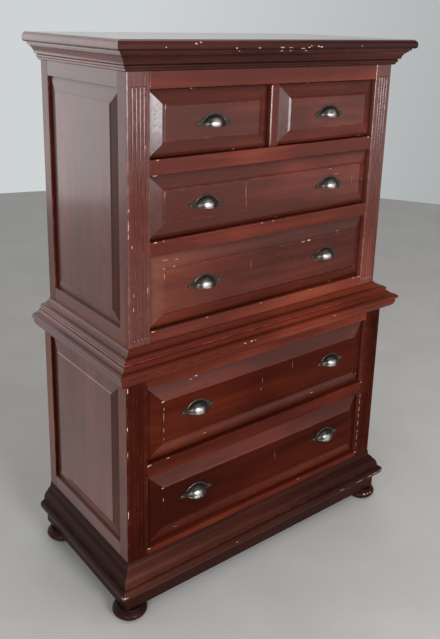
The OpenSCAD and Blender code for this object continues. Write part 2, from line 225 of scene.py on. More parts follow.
def split_solids(node):
    """The boxes of a CAD node's separate solids, from its mesh."""
    bm = bmesh.new()
    bm.from_mesh(NODES[node].data)
    bmesh.ops.remove_doubles(bm, verts=bm.verts, dist=1e-6)
    seen, boxes = set(), []
    for v in bm.verts:
        if v in seen:
            continue
        stack, part = [v], []
        seen.add(v)
        while stack:
            q = stack.pop()
            part.append(q.co.copy())
            for e in q.link_edges:
                o = e.other_vert(q)
                if o not in seen:
                    seen.add(o)
                    stack.append(o)
        lo = Vector([min(c[k] for c in part) for k in range(3)])
        hi = Vector([max(c[k] for c in part) for k in range(3)])
        boxes.append((lo, hi))
    bm.free()
    return sorted(boxes, key=lambda b: tuple(round(x, 5) for x in b[0]))


# -------- materials

class Graph:
    """A material's node tree with short calls for the nodes used here."""

    def __init__(self, name):
        self.mat = bpy.data.materials.new(name)
        self.mat.use_nodes = True
        self.nt = self.mat.node_tree
        self.nt.nodes.clear()
        self.out = self.nt.nodes.new("ShaderNodeOutputMaterial")
        self.bsdf = self.nt.nodes.new("ShaderNodeBsdfPrincipled")
        self.nt.links.new(self.bsdf.outputs[0], self.out.inputs[0])

    def put(self, socket, value):
        if hasattr(value, "is_output"):
            self.nt.links.new(value, socket)
        elif value is not None:
            socket.default_value = value

    def node(self, kind, inputs=(), out=0, **props):
        n = self.nt.nodes.new(kind)
        for k, v in props.items():
            setattr(n, k, v)
        for key, value in inputs.items() if isinstance(inputs, dict) else enumerate(inputs):
            self.put(n.inputs[key], value)
        return n.outputs[out]

    def math(self, op, a, b=None, c=None):
        return self.node("ShaderNodeMath", (a, b, c), operation=op)

    def vmath(self, op, a, b=None):
        return self.node("ShaderNodeVectorMath", (a, b), operation=op)

    def noise(self, vec, scale, detail=3.0, rough=0.55, distortion=0.0):
        return self.node("ShaderNodeTexNoise", {"Vector": vec, "Scale": scale, "Detail": detail,
                                                "Roughness": rough, "Distortion": distortion}, out="Fac")

    def ramp(self, fac, stops):
        n = self.nt.nodes.new("ShaderNodeValToRGB")
        cr = n.color_ramp
        while len(cr.elements) < len(stops):
            cr.elements.new(0.5)
        for e, (pos, col) in zip(cr.elements, stops):
            e.position = pos
            e.color = (*col, 1)
        self.put(n.inputs[0], fac)
        return n.outputs[0]

    def step(self, value, lo, hi):
        return self.node("ShaderNodeMapRange", {"Value": value, "From Min": lo, "From Max": hi, "To Min": 0.0,
                                                "To Max": 1.0}, interpolation_type="SMOOTHSTEP")

    def mix(self, fac, a, b):
        n = self.nt.nodes.new("ShaderNodeMix")
        n.data_type = "RGBA"
        self.put(n.inputs[0], fac)
        self.put(n.inputs[6], a)
        self.put(n.inputs[7], b)
        return n.outputs[2]

    def attr(self, name):
        return self.node("ShaderNodeAttribute", attribute_name=name, out="Fac")

    def bump(self, height, strength, distance, normal=None):
        return self.node("ShaderNodeBump", {"Height": height, "Strength": strength, "Distance": distance,
                                            "Normal": normal})


def shade(colour, factor=1.0, lift=0.0):
    """A colour made darker or lighter, with alpha 1."""
    return (*[min(1.0, c * factor + lift) for c in colour], 1)


def grain_space(g, axis, stretch, tone=True):
    """Object space with the grain's direction drawn out."""
    co = g.node("ShaderNodeTexCoord", out="Object")
    if tone:
        shift = g.vmath("SCALE", (11.3, 7.1, 5.7))
        g.put(shift.node.inputs["Scale"], g.attr("tone"))
        co = g.vmath("ADD", co, shift)
    scale = [1.0, 1.0, 1.0]
    scale["XYZ".index(axis)] = stretch
    return co, g.vmath("MULTIPLY", co, tuple(scale))


BARE = (0.50, 0.32, 0.21)


def stained_wood(name, axis, dark, mid, light, rough, spec, coat=0.0):
    """Stained, varnished hardwood with its grain along one axis of the object."""
    g = Graph(name)
    co, along = grain_space(g, axis, 0.09)
    _, fine_space = grain_space(g, axis, 0.035)
    broad = g.noise(along, 9.0, 3.0, 0.55)
    figure = g.noise(along, 42.0, 4.0, 0.6, 0.4)
    across = g.node("ShaderNodeSeparateXYZ", (along,), out="XYZ".index("X" if axis == "Z" else "Z"))
    other = g.node("ShaderNodeSeparateXYZ", (along,), out="XYZ".index("X" if axis == "Y" else "Y"))
    phase = g.math("MULTIPLY_ADD", broad, 26.0, g.math("MULTIPLY", other, 90.0))
    phase = g.math("MULTIPLY_ADD", across, 210.0, phase)
    rings = g.math("MULTIPLY_ADD", g.math("SINE", phase), 0.5, 0.5)
    pores = g.noise(fine_space, 760.0, 2.0, 0.6)
    pore = g.step(pores, 0.56, 0.70)
    drift = g.noise(co, 2.6, 2.0, 0.5)
    value = g.math("ADD", g.math("MULTIPLY", broad, 0.85), g.math("MULTIPLY", figure, 0.26))
    value = g.math("MULTIPLY_ADD", drift, 0.55, g.math("SUBTRACT", value, 0.44))
    value = g.math("MULTIPLY_ADD", rings, 0.045, value)
    value = g.math("MULTIPLY_ADD", g.attr("tone"), 0.06, g.math("SUBTRACT", value, 0.03))
    colour = g.ramp(value, [(0.36, dark), (0.54, mid), (0.78, light)])
    colour = g.mix(g.math("MULTIPLY", pore, 0.28), colour, shade(dark, 0.5))
    blot = g.noise(co, 5.5, 3.0, 0.55)
    colour = g.mix(g.math("MULTIPLY", g.step(blot, 0.50, 0.80), 0.5), colour, shade(dark))
    # painted shade: darker where recess is set, in inner corners, flutes and round the panels and drawer
    # fronts
    colour = g.mix(g.math("MULTIPLY", g.attr("recess"), 0.75), colour, shade(dark, 0.28))
    # rubbed edges show a lighter, redder wood, and chips show it bare
    edge = g.attr("wear_and_sheen")
    rub = g.math("MULTIPLY", edge, g.step(g.noise(co, 38.0, 4.0, 0.65), 0.44, 0.66))
    colour = g.mix(g.math("MULTIPLY", rub, 0.2), colour, shade(light, 2.1, 0.03))
    chip = g.math("MULTIPLY", g.step(edge, 0.35, 0.8), g.step(g.noise(co, 75.0, 5.0, 0.7), 0.675, 0.70))
    chip = g.math("MULTIPLY", chip, g.step(g.noise(co, 7.0, 2.0), 0.5, 0.58))
    colour = g.mix(g.math("MULTIPLY", chip, 0.85), colour, shade(BARE))
    smear = g.noise(co, 16.0, 5.0, 0.65)
    r = g.math("MULTIPLY_ADD", smear, 0.16, rough - 0.08)
    r = g.math("MULTIPLY_ADD", pore, 0.10, r)
    r = g.math("MULTIPLY_ADD", chip, 0.35, r)
    r = g.math("MULTIPLY_ADD", g.attr("recess"), 0.15, r)
    height = g.math("MULTIPLY_ADD", pore, -0.5, g.math("MULTIPLY", figure, 0.5))
    height = g.math("MULTIPLY_ADD", chip, -2.5, height)
    waves = g.noise(co, 26.0, 2.0, 0.5)
    b = g.bump(height, 0.35, 0.0004)
    b = g.bump(waves, 0.22, 0.0016, b)
    g.put(g.bsdf.inputs["Base Color"], colour)
    g.put(g.bsdf.inputs["Roughness"], r)
    g.put(g.bsdf.inputs["Normal"], b)
    g.bsdf.inputs["Specular IOR Level"].default_value = spec
    g.bsdf.inputs["Coat Weight"].default_value = coat
    g.bsdf.inputs["Coat Roughness"].default_value = 0.12
    return g.mat


def plain_wood(name, axis, light, mid, dark):
    """Bare sanded softwood of the inside parts."""
    g = Graph(name)
    co, along = grain_space(g, axis, 0.06, tone=False)
    broad = g.noise(along, 12.0, 3.0)
    streaks = g.noise(along, 130.0, 3.0, 0.6, 0.6)
    value = g.math("MULTIPLY_ADD", streaks, 0.55, g.math("MULTIPLY", broad, 0.45))
    colour = g.ramp(value, [(0.36, dark), (0.52, mid), (0.66, light)])
    dirt = g.noise(co, 9.0, 4.0, 0.6)
    colour = g.mix(g.math("MULTIPLY", g.step(dirt, 0.5, 0.78), 0.4), colour, shade(dark, 0.55))
    g.put(g.bsdf.inputs["Base Color"], colour)
    g.put(g.bsdf.inputs["Roughness"], g.math("MULTIPLY_ADD", streaks, 0.2, 0.55))
    g.put(g.bsdf.inputs["Normal"], g.bump(value, 0.4, 0.0006))
    g.bsdf.inputs["Specular IOR Level"].default_value = 0.3
    return g.mat


def aged_metal(name):
    """Dark pewter-bronze casting, with a painted highlight: lighter where wear_and_sheen is set on the cup's
    dome and lip.
    """
    g = Graph(name)
    co = g.node("ShaderNodeTexCoord", out="Object")
    cloud = g.noise(co, 90.0, 4.0, 0.6)
    speck = g.noise(co, 900.0, 2.0, 0.6)
    patina = [(0.3, (0.034, 0.028, 0.022)), (0.55, (0.062, 0.053, 0.042)), (0.75, (0.098, 0.086, 0.07))]
    # the light colour of the painted highlight, and the dark of the painted shade and grime
    painted_sheen, shade_and_grime = (0.56, 0.52, 0.50), (0.02, 0.018, 0.016)
    colour = g.ramp(cloud, patina)
    # painted highlight where the pulls' wear_and_sheen is set
    sheen_mask = g.math("MULTIPLY", g.attr("wear_and_sheen"), g.step(cloud, 0.25, 0.55))
    colour = g.mix(sheen_mask, colour, shade(painted_sheen))
    # painted shade and grime where recess is set: inside the cup, along the flange and over the ears
    colour = g.mix(g.math("MULTIPLY", g.attr("recess"), 0.7), colour, shade(shade_and_grime))
    rough = g.math("MULTIPLY_ADD", speck, 0.1, 0.16)
    g.put(g.bsdf.inputs["Base Color"], colour)
    g.put(g.bsdf.inputs["Roughness"], g.math("MULTIPLY_ADD", cloud, 0.22, rough))
    g.put(g.bsdf.inputs["Normal"], g.bump(speck, 0.25, 0.0002, g.bump(cloud, 0.3, 0.0006)))
    g.bsdf.inputs["Metallic"].default_value = 0.85
    return g.mat


def light_flake_look(name):
    """Bare wood where the finish has come off; its light colour also serves as a painted highlight on one
    foot.
    """
    g = Graph(name)
    co = g.node("ShaderNodeTexCoord", out="Object")
    n = g.noise(co, 260.0, 4.0, 0.65)
    colour = g.ramp(n, [(0.34, (0.18, 0.09, 0.055)), (0.5, (0.40, 0.25, 0.17)), (0.68, (0.66, 0.50, 0.38))])
    g.put(g.bsdf.inputs["Base Color"], colour)
    g.put(g.bsdf.inputs["Roughness"], g.math("MULTIPLY_ADD", n, 0.3, 0.5))
    g.put(g.bsdf.inputs["Normal"], g.bump(n, 0.4, 0.0004))
    return g.mat


# stains, each from its darkest grain to its lightest
RED = dict(dark=(0.052, 0.0088, 0.0048), mid=(0.104, 0.0190, 0.0100), light=(0.180, 0.042, 0.020))
ROW_3_RED = dict(dark=(0.040, 0.0066, 0.0036), mid=(0.080, 0.0143, 0.0074), light=(0.138, 0.0315, 0.0150))
RAIL_RED = dict(dark=(0.066, 0.0096, 0.0046), mid=(0.128, 0.0215, 0.0098), light=(0.215, 0.047, 0.020))
LOW_RED = dict(dark=(0.066, 0.0096, 0.0044), mid=(0.128, 0.0205, 0.0086), light=(0.215, 0.044, 0.017))
FRONT_RED = dict(dark=(0.023, 0.0030, 0.0013), mid=(0.044, 0.0058, 0.0023), light=(0.077, 0.0125, 0.0050))
# also the lighter stain painted on the lower drawers' top and bottom borders, for the light they catch
SILL_RED = dict(dark=(0.040, 0.0056, 0.0025), mid=(0.078, 0.0116, 0.0050), light=(0.132, 0.0250, 0.0100))
BASE_RED = dict(dark=(0.018, 0.0036, 0.0021), mid=(0.034, 0.0070, 0.0040), light=(0.060, 0.0148, 0.0080))
# painted light: the sides' stain is lighter and greyer than the fronts', for the window light and reflection
# that the sides catch
SIDE_LIT_RED = dict(dark=(0.086, 0.0185, 0.0120), mid=(0.146, 0.0360, 0.0240), light=(0.215, 0.064, 0.044))
# painted shade: the side panels' front and back borders are darker, standing in for the shade on them
BORDER_SHADE_RED = dict(dark=(0.046, 0.0105, 0.0070), mid=(0.078, 0.0200, 0.0135), light=(0.118, 0.0360, 0.0250))
DEEP = dict(dark=(0.024, 0.0048, 0.0032), mid=(0.046, 0.0094, 0.0062), light=(0.078, 0.019, 0.012))
# painted shade: plinth and feet, which stand in the shade under the base, take this darkened stain
LOW_SHADE_RED = dict(dark=(0.018, 0.0036, 0.0022), mid=(0.034, 0.0064, 0.0036), light=(0.056, 0.012, 0.007))


def woods(stem, axes, **look):
    """One look as a material for each direction of the grain."""
    return {a: stained_wood("%s_%s" % (stem, a.lower()), a, **look) for a in axes}


# fronts of the upper case: drawers, the fourth drawer, rails, posts, rubbed arrises of posts and stile
WOOD = woods("red_wood", "X", rough=0.20, spec=0.32, coat=0.05, **RED)
ROW_3 = woods("row_3_wood", "X", rough=0.20, spec=0.30, **ROW_3_RED)
RAIL = woods("rail_wood", "XZ", rough=0.24, spec=0.24, **RAIL_RED)
POST = woods("post_wood", "Z", rough=0.17, spec=0.5, coat=0.2, **RAIL_RED)
EDGE = woods("edge_wood", "Z", rough=0.22, spec=0.7, coat=0.45, **RAIL_RED)
# fronts of the lower case have lost most of their gloss: top rail and waist, drawers and posts,
# sloping borders of the drawers (painted lighter), the rails below, base moulding, plinth and feet (painted
# darker)
LOW = woods("lower_wood", "X", rough=0.28, spec=0.10, **LOW_RED)
LOW_FRONT = woods("lower_front_wood", "XZ", rough=0.30, spec=0.03, **FRONT_RED)
# painted light: the lower drawers' sloping top and bottom borders, lighter and glossier than their fields
LIT_BORDER = woods("border_wood", "X", rough=0.28, spec=0.26, **SILL_RED)
SILL = woods("sill_wood", "X", rough=0.30, spec=0.06, **SILL_RED)
LOW_BASE = woods("base_wood", "XY", rough=0.30, spec=0.10, **BASE_RED)
LOW_SHADED = woods("lower_shaded", "XYZ", rough=0.34, spec=0.1, **LOW_SHADE_RED)
# the sides kept their gloss: panels and rails, their borders, posts, waist returns; their stain is painted
# lighter and greyer than the fronts' (painted light), and their borders darker (painted shade)
SIDE = woods("side_wood", "YZ", rough=0.30, spec=0.7, coat=0.7, **SIDE_LIT_RED)
SHADED_PANEL_BORDER = woods("panel_border_wood", "Z", rough=0.30, spec=0.34, **BORDER_SHADE_RED)
POST_SIDE = woods("post_side_wood", "Z", rough=0.30, spec=0.5, coat=0.35, **SIDE_LIT_RED)
LOW_SIDE = woods("moulding_side_wood", "Y", rough=0.28, spec=0.5, coat=0.4, **SIDE_LIT_RED)
# cornice and top board: their front, and their sides and top, which take the sides' painted-light stain
DARK = woods("dark_wood", "X", rough=0.28, spec=0.16, **DEEP)
DARK_SIDE = woods("dark_side_wood", "XY", rough=0.28, spec=0.8, coat=0.8, **SIDE_LIT_RED)
PINE = dict(light=(0.55, 0.36, 0.20), mid=(0.44, 0.26, 0.13), dark=(0.30, 0.16, 0.075))
PLAIN = {a: plain_wood("inner_wood_" + a.lower(), a, **PINE) for a in "XYZ"}
METAL = aged_metal("pull_metal")
LIGHT_FLAKE = light_flake_look("light_flake_wood")


def dress(node, mat):
    """Gives a CAD node that stays a procedural material."""
    ob = NODES[node]
    for s in ob.material_slots:
        s.link = "OBJECT"
        s.material = mat


# -------- case woodwork

def boards(name, node, mat, r=1.2 * mm):
    """Rebuilds a node of plain boards with rounded, worn edges."""
    b = Build()
    for lo, hi in split_solids(node):
        board_into(b, lo, hi, r)
    return b.done(name, CASE, mat, [node], smooth=50)


FLUTES = 4
FLUTE_PITCH = 10 * mm
FLUTE_R = 3.6 * mm
FLUTE_DEPTH = 2.6 * mm
POST_ARRIS = 2.2 * mm


def post_into(b, lo, hi, f0, f1):
    """Front post: rounded arrises, and flutes with rounded ends on its front face, from f0 to f1."""
    r, support = POST_ARRIS, 4 * mm
    x0, x1, y0, y1 = lo.x, hi.x, lo.y, hi.y
    quarter = [math.radians(d) for d in (0, 30, 60, 90)]
    # (x, y, wear, place across its flute from 0 at the middle to 1 at the edge)
    cols = [(x0, y1, 0, None), (x0, y0 + r + support, 0, None)]
    cols += [(x0 + r - r * math.cos(a), y0 + r - r * math.sin(a), 1, None) for a in quarter]
    cols.append((x0 + r + support, y0, 0, None))
    for k in range(FLUTES):
        middle = (x0 + x1) / 2 + (k - (FLUTES - 1) / 2) * FLUTE_PITCH
        for i in range(9):
            t = -math.cos(math.pi * i / 8)
            cols.append((middle + FLUTE_R * t, y0, 0.6 if i in (0, 8) else 0, abs(t)))
    cols.append((x1 - r - support, y0, 0, None))
    cols += [(x1 - r + r * math.sin(a), y0 + r - r * math.cos(a), 1, None) for a in quarter]
    cols += [(x1, y0 + r + support, 0, None), (x1, y1, 0, None)]
    ends = [FLUTE_R * math.cos(math.pi / 2 * i / 5) for i in range(6)]
    rings, wears, recs = [], [], []
    for z in [lo.z] + [f0 - e for e in ends] + [f1 + e for e in reversed(ends)] + [hi.z]:
        beyond = max(0.0, f0 - z, z - f1)
        ring, wr, rc = [], [], []
        for x, y, wear_and_sheen, across in cols:
            d = 0.0
            if across is not None:
                q = math.hypot(across * FLUTE_R, beyond) / FLUTE_R
                d = FLUTE_DEPTH * math.sqrt(max(0.0, 1 - q ** 2))
            ring.append((x, y + d, z))
            wr.append(float(wear_and_sheen))
            # painted shade in the flutes, stronger where they are deeper
            rc.append(d / FLUTE_DEPTH * 0.15)
        rings.append(ring)
        wears.append(wr)
        recs.append(rc)
    b.loft(rings, wears, recs)


def on_side(f):
    """A face that looks to the left or right."""
    return abs(f.normal.x) > 0.97


def front_posts(name, node, mat, below, above, edge=None):
    """Fluted posts. The flutes stop short of the ends by below and above; edge is the arrises' look."""
    b = Build()
    solids = split_solids(node)
    for lo, hi in solids:
        post_into(b, lo, hi, lo.z + below, hi.z - above)
    ob = b.done(name, CASE, mat, [node])
    # painted light: faces that look sideways take the sides' lighter stain
    relook(ob, POST_SIDE["Z"], on_side)
    sides = [x for lo, hi in solids for x in (lo.x, hi.x)]

    def on_arris(f):
        return 0.25 < abs(f.normal.x) < 0.97 and min(abs(f.center.x - x) for x in sides) < 3 * mm

    if edge:
        relook(ob, edge, on_arris)


def rear_posts(name, node, mat):
    """Rear posts with the rebate that the back panel sits in."""
    rebate = 12
    b = Build()
    for lo, hi in split_solids(node):
        side = 1 if lo.x > 0 else -1
        out = hi.x if side > 0 else lo.x
        w, d = (hi.x - lo.x) / mm, (hi.y - lo.y) / mm
        line = rounded([(0, 0, 1.2), (0, d, 1.2), (rebate, d, 0.8), (rebate, d - rebate, 0.3),
                        (w, d - rebate, 0.8), (w, 0, 1.2)], support=4, closed=True)
        ends = ((lo.z, 0.8), (lo.z + 0.6 * mm, 0.4), (lo.z + 5 * mm, 0),
                (hi.z - 5 * mm, 0), (hi.z - 0.6 * mm, 0.4), (hi.z, 0.8))
        rings = [[(out - side * x * mm, lo.y + y * mm, z) for x, y, _, _ in line] for z, _ in ends]
        wears = [[max(wear_and_sheen, end_wear) for _, _, wear_and_sheen, _ in line] for _, end_wear in ends]
        b.loft(rings, wears, [[rec for _, _, _, rec in line]] * len(ends))
    # painted light: faces that look sideways take the sides' lighter stain
    relook(b.done(name, CASE, mat, [node], smooth=50), POST_SIDE["Z"], on_side)


def panel_rings(w, h, section):
    """Rings of a raised board: section is a list of (inset, depth, wear, recess) in mm."""
    rings, ws, rs = [], [], []
    for inset, depth, wear_and_sheen, rec in section:
        a, c, d = w / 2 - inset * mm, h / 2 - inset * mm, depth * mm
        rings.append([(-a, -c, d), (a, -c, d), (a, c, d), (-a, c, d)])
        ws.append([wear_and_sheen] * 4)
        rs.append([rec] * 4)
    return rings, ws, rs


def raised_section(thick, edge, bevel, step, shade_and_grime):
    """From the back edge round to the field; depth 0 is the field, and the back is at -thick. The border
    slopes from edge to the foot of a steeper step that ends at bevel. shade_and_grime is how far in the
    painted shade reaches."""
    run = step / math.tan(math.radians(25))
    foot, deep = bevel - run / 3, thick - edge
    slope = (deep - step) / foot
    points = rounded([(0, -thick, 0), (0, -deep, 1.0), (6, 6 * slope - deep, 0), (12, 12 * slope - deep, 0),
                      (foot, -step, 0.6), (foot + run, 0, 1.8), (foot + run + 12, 0, 0)], support=3.0)
    # recess here is painted shade, darkest where the board meets its frame and fading inwards
    return [(i, d, wear_and_sheen * min(1.0, i / 8), max(rec, 1 - i / shade_and_grime)) for i, d, wear_and_sheen, rec in points]


def drawer_section(i):
    lo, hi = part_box("drawer_%d_front" % i)
    return raised_section(thick=(hi.y - lo.y) / mm, edge=9, bevel=34 if i < 5 else 40, step=2.6, shade_and_grime=10.0)


def drawer_front(i):
    node = "drawer_%d_front" % i
    lo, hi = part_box(node)
    rings, ws, rs = panel_rings(hi.x - lo.x, hi.z - lo.z, drawer_section(i))
    cx, cz = (lo.x + hi.x) / 2, (lo.z + hi.z) / 2
    rings = [[(cx + x, lo.y - d, cz + z) for x, z, d in ring] for ring in rings]
    b = Build()
    b.loft(rings, ws, rs, crease_long=True)
    look = (WOOD if i < 4 else ROW_3 if i == 4 else LOW_FRONT)["X"]
    ob = b.done("front_%d" % i, "drawer_%d" % i, look, [node], smooth=60)
    if i > 4:
        # painted light: the top border lighter for light from above, the bottom one for the floor's
        # reflection
        relook(ob, LIT_BORDER["X"], lambda f: 0.1 < abs(f.normal.z) < 0.6)


def side_panels(name, node):
    """Raised panels of both sides, without the tongue that stays inside the frame."""
    tongue = 8 * mm
    section = raised_section(thick=15, edge=7, bevel=36, step=1.6, shade_and_grime=9.0)
    b = Build()
    for lo, hi in split_solids(node):
        s = 1 if lo.x > 0 else -1
        face = hi.x if s > 0 else lo.x
        rings, ws, rs = panel_rings(hi.y - lo.y - 2 * tongue, hi.z - lo.z - 2 * tongue, section)
        cy, cz = (lo.y + hi.y) / 2, (lo.z + hi.z) / 2
        rings = [[(face + s * d, cy + y, cz + z) for y, z, d in ring] for ring in rings]
        b.loft(rings, ws, rs, crease_long=True)
    ob = b.done(name, CASE, SIDE["Z"], [node], smooth=60)
    # painted shade: borders facing front and back take a darker, less glossy copy
    relook(ob, SHADED_PANEL_BORDER["Z"], lambda f: 0.1 < abs(f.normal.y) < 0.9)


# rings in from a mitre in mm, each with the wear that the corner adds
MITRE = ((0.0, 0.8), (2.5, 0), (6.0, 0))


def run_piece(name, section, w, y_face, z0, part, mat, replaces, y_back):
    """One mitred length of a moulding. section is closed: (out, up, wear, recess) in mm."""
    rings, ws, rs = [], [], []

    def ring(place, corner):
        """place gives the x and y of a point that stands out this far from the case."""
        rings.append([(*place(out * mm), z0 + up * mm) for out, up, _, _ in section])
        ws.append([min(1.0, wear_and_sheen + corner * (out > 0)) for out, _, wear_and_sheen, _ in section])
        rs.append([rec for _, _, _, rec in section])

    if part == "front":
        for s, corner in MITRE:
            ring(lambda out: (s * mm - (w / 2 + out), y_face - out), corner)
        for s, corner in reversed(MITRE):
            ring(lambda out: (w / 2 + out - s * mm, y_face - out), corner)
    else:
        side = -1 if part == "left" else 1
        for s, corner in MITRE:
            ring(lambda out: (side * (w / 2 + out), y_face - out + s * mm), corner)
        ring(lambda out: (side * (w / 2 + out), y_back), 0)
    b = Build()
    b.loft(rings, ws, rs)
    b.done(name, CASE, mat, replaces, smooth=38)


LENGTHS = (("front", "X"), ("left", "Y"), ("right", "Y"))


def moulding(stem, node, points, w, y_face, z0, mats):
    """The three lengths of a moulding; its section is returned."""
    section = rounded(points, support=2.2, steps=5, closed=True)
    y_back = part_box(node)[1].y
    for part, axis in LENGTHS:
        run_piece("%s_%s" % (stem, part), section, w, y_face, z0, part, mats[axis],
                  [node] if part == "front" else (), y_back)
    return section


def with_side(mats, side):
    """The looks of a moulding whose lengths along the sides are as glossy as the side panels, and as light:
    painted light.
    """
    return {"X": mats["X"], "Y": side["Y"]}


up_lo, up_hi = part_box("upper_front_posts")
low_lo, low_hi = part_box("lower_front_posts")
UP_W, UP_Y = up_hi.x - up_lo.x, up_lo.y
LOW_W, LOW_Y = low_hi.x - low_lo.x, low_lo.y
Z_CASE, Z_UP, Z_UPTOP = low_lo.z, up_lo.z, up_hi.z
LOW_ROW_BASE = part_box("drawer_5_front")[0].z + 1 * mm  # the lower case's rails below this are darker

front_posts("post_pair_upper", "upper_front_posts", POST["Z"], 48 * mm, 80 * mm, EDGE["Z"])
front_posts("post_pair_lower", "lower_front_posts", LOW_FRONT["Z"], 82 * mm, 68 * mm)
boards("rail_frieze", "frieze_rail", RAIL["X"])
boards("rails_between_upper", "upper_drawer_rails", RAIL["X"])
boards("rail_bottom_upper", "upper_bottom_rail", RAIL["X"])
relook(boards("stile_centre", "centre_stile", RAIL["Z"], r=4.5 * mm), EDGE["Z"],
       lambda f: 0.2 < abs(f.normal.x) < 0.98)
relook(boards("rails_lower", "lower_rails", LOW["X"]), SILL["X"],
       lambda f: f.center.z < LOW_ROW_BASE)
# the side rails take the sides' painted-light stain
boards("side_rails_upper", "upper_side_rails", SIDE["Y"], r=0.9 * mm)
boards("side_rails_lower", "lower_side_rails", SIDE["Y"], r=0.9 * mm)
rear_posts("posts_rear_upper", "upper_rear_posts", RAIL["Z"])
rear_posts("posts_rear_lower", "lower_rear_posts", LOW_FRONT["Z"])
side_panels("panels_side_upper", "upper_side_panels")
side_panels("panels_side_lower", "lower_side_panels")
boards("board_between_cases", "lower_top_board", DARK["X"])

# moulding sections run anticlockwise, (out from the case face, up from the datum, corner radius)
CORNICE = ([(0, 0, 0), (0, -45, 0), (4, -45, 0.4), (8, -43, 1.0), (8.3, -39, 0.3)]
           + arc(8.0, -34.2, 4.4, -80, 70, 8) + [(12.0, -29, 0.4), (17, -29, 0.5), (17.4, -26.5, 0.5)]
           + arc(42, -31.5, 25, 168, 115, 8)
           + [(31, -7.6, 0.6), (31.2, -6, 0.3), (36, -5.6, 0.8), (37, 0, 0)])
CORNICE_LINE = moulding("cornice", "cornice_moulding", CORNICE, UP_W, UP_Y, Z_UPTOP,
                        with_side(DARK, DARK_SIDE))

WAIST = ([(0, 0, 0), (0, -49, 0), (3.5, -48.6, 0.8)] + arc(2, -16.8, 31.9, -80, -38, 6)
         + [(29.2, -31.2, 0.5)] + arc(28.2, -25.5, 3.1, -50, 60, 5) + [(29.0, -21.0, 0.4)]
         + arc(30.0, -12.4, 6.4, -78, 88, 9) + [(29.8, -4.6, 0.6), (25.0, -4.0, 0.8)]
         + arc(27.5, 9.5, 14.0, 252, 205, 6) + [(13.4, 4.6, 0.5), (9.6, 5.6, 0.6)]
         + arc(4.2, 12.2, 5.4, -40, 80, 6) + [(3.0, 19.4, 0.5)]
         + arc(6, 45, 28, 253, 214, 5) + [(-19.6, 31.6, 0.6), (-20, 0, 0)])
WAIST_LINE = moulding("waist", "waist_moulding", WAIST, LOW_W, LOW_Y, Z_UP,
                      with_side(LOW, LOW_SIDE))

BASE = ([(0, 0, 0), (16, 0, 0), (16, -38, 0.4), (17.6, -36, 1.0), (18.6, -31, 1.0), (19.4, -28, 0.6)]
        + arc(18.7, -10.2, 17.5, -80, -12, 8) + arc(28.4, -5.0, 7.8, -6, 84, 7)
        + [(29.0, 3.6, 0.5), (24.6, 4.4, 0.7), (24.3, 8.6, 0.4)]
        + arc(-4.5, 9.5, 28.6, 2, 58, 8) + [(10.6, 36.4, 0.5)] + arc(18.5, 52.5, 17.6, 247, 196, 6)
        + [(0.9, 57, 0.6), (0, 57, 0)])
BASE_LINE = moulding("base", "base_moulding", BASE, LOW_W, LOW_Y, Z_CASE, LOW_BASE)


def plinth():
    """Mitred plinth boards round the front and sides, with the rear board and corner blocks inside."""
    lo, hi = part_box("plinth")
    h = (hi.z - lo.z) / mm
    section = rounded([(0.2, 0, 0), (0.2, -h, 1), (16, -h, 1.6), (16, 0, 0.4)], support=4, closed=True)
    for part, axis in LENGTHS:
        # painted shade: the plinth boards take the darkened stain
        run_piece("plinth_" + part, section, LOW_W, LOW_Y, Z_CASE, part, LOW_SHADED[axis],
                  ["plinth"] if part == "front" else (), hi.y)
    b = Build()
    for part_lo, part_hi in split_solids("plinth"):
        size = part_hi - part_lo
        block = max(size.x, size.y) < 70 * mm
        rear_board = size.x > 500 * mm and part_lo.y > 0
        if block or rear_board:
            board_into(b, part_lo, part_hi, 1.5 * mm)
    b.done("plinth_inner", CASE, PLAIN["X"], smooth=50)


plinth()


def top_board():
    """Slab with rounded front and side edges, made as rings from its underside up. Returns its section."""
    lo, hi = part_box("top_board")
    t = (hi.z - lo.z) / mm
    over = (hi.x - lo.x - UP_W) / 2 / mm
    line = [(over - 30, 0, 0), (over - 8, 0, 1.5), (over - 3.0, 1.2, 1.5), (over - 0.2, 4.4, 2)]
    line += arc(over - 12, t - 12, 12, -8, 62, 7) + [(over - 8, t, 2.5), (over - 40, t, 0)]
    section = rounded(line, support=3.0)
    rings = []
    for out, up, _, _ in section:
        x, y, z = UP_W / 2 + out * mm, UP_Y - out * mm, Z_UPTOP + up * mm
        rings.append([(-x, hi.y, z), (-x, y, z), (x, y, z), (x, hi.y, z)])
    b = Build()
    b.loft(rings, [[wear_and_sheen] * 4 for _, _, wear_and_sheen, _ in section], [[rec] * 4 for _, _, _, rec in section],
           crease_long=True)
    ob = b.done("top_slab", CASE, DARK["X"], ["top_board"], smooth=40)
    # painted light: the slab's ends and top take the sides' lighter stain
    relook(ob, DARK_SIDE["X"], lambda f: abs(f.normal.x) > 0.5 or f.normal.z > 0.8)
    return section


SLAB_LINE = top_board()


